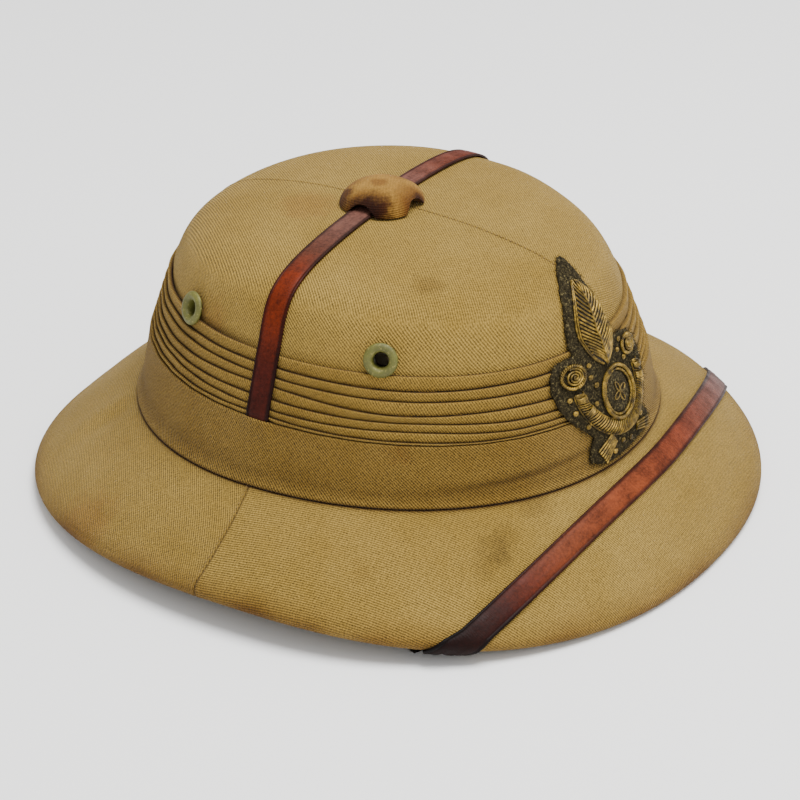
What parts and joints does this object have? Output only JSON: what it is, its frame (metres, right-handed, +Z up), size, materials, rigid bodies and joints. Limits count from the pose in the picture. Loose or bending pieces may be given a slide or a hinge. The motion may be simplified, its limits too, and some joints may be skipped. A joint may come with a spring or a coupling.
{
  "type": "pith helmet",
  "caption": "Cloth-covered cork sun helmet with a domed crown, sloping brim, pleated hatband, leather straps, vent button, vent eyelets and an embroidered badge.",
  "frame": {"origin": "centre of the floor under the helmet, which stands on its brim", "axes": "+Z up through the crown, -Y the way the wearer faces, +X the wearer's left"},
  "size_m": [0.307, 0.3285, 0.1448],
  "materials": {
    "khaki_drill": "cotton drill, fine diagonal twill, faded khaki with small stains",
    "stained_drill": "ribbed cotton twill over cork, darkened by handling",
    "strap_leather": "polished vegetable-tanned leather, creased edges, red-brown",
    "aged_brass": "brass under worn olive paint",
    "dark_felt": "grey-black wool felt with a frayed edge",
    "bullion_wire": "tarnished gilt wire embroidery"
  },
  "bodies": {
    "root": {"crown": "khaki_drill", "brim": "khaki_drill", "puggaree_pleats": "khaki_drill", "hatband": "khaki_drill", "crown_strap": "strap_leather", "chin_strap": "strap_leather", "top_button": "stained_drill", "eyelet_right_front": "aged_brass", "eyelet_right_back": "aged_brass", "eyelet_left_front": "aged_brass", "eyelet_left_back": "aged_brass", "badge_felt": "dark_felt", "badge_leaf": "bullion_wire", "badge_ring": "bullion_wire", "badge_boss": "dark_felt", "badge_garland": "bullion_wire", "badge_tail_left": "bullion_wire", "badge_tail_right": "bullion_wire", "badge_rosette_right": "bullion_wire", "badge_rosette_left": "bullion_wire"}
  },
  "joints": []
}
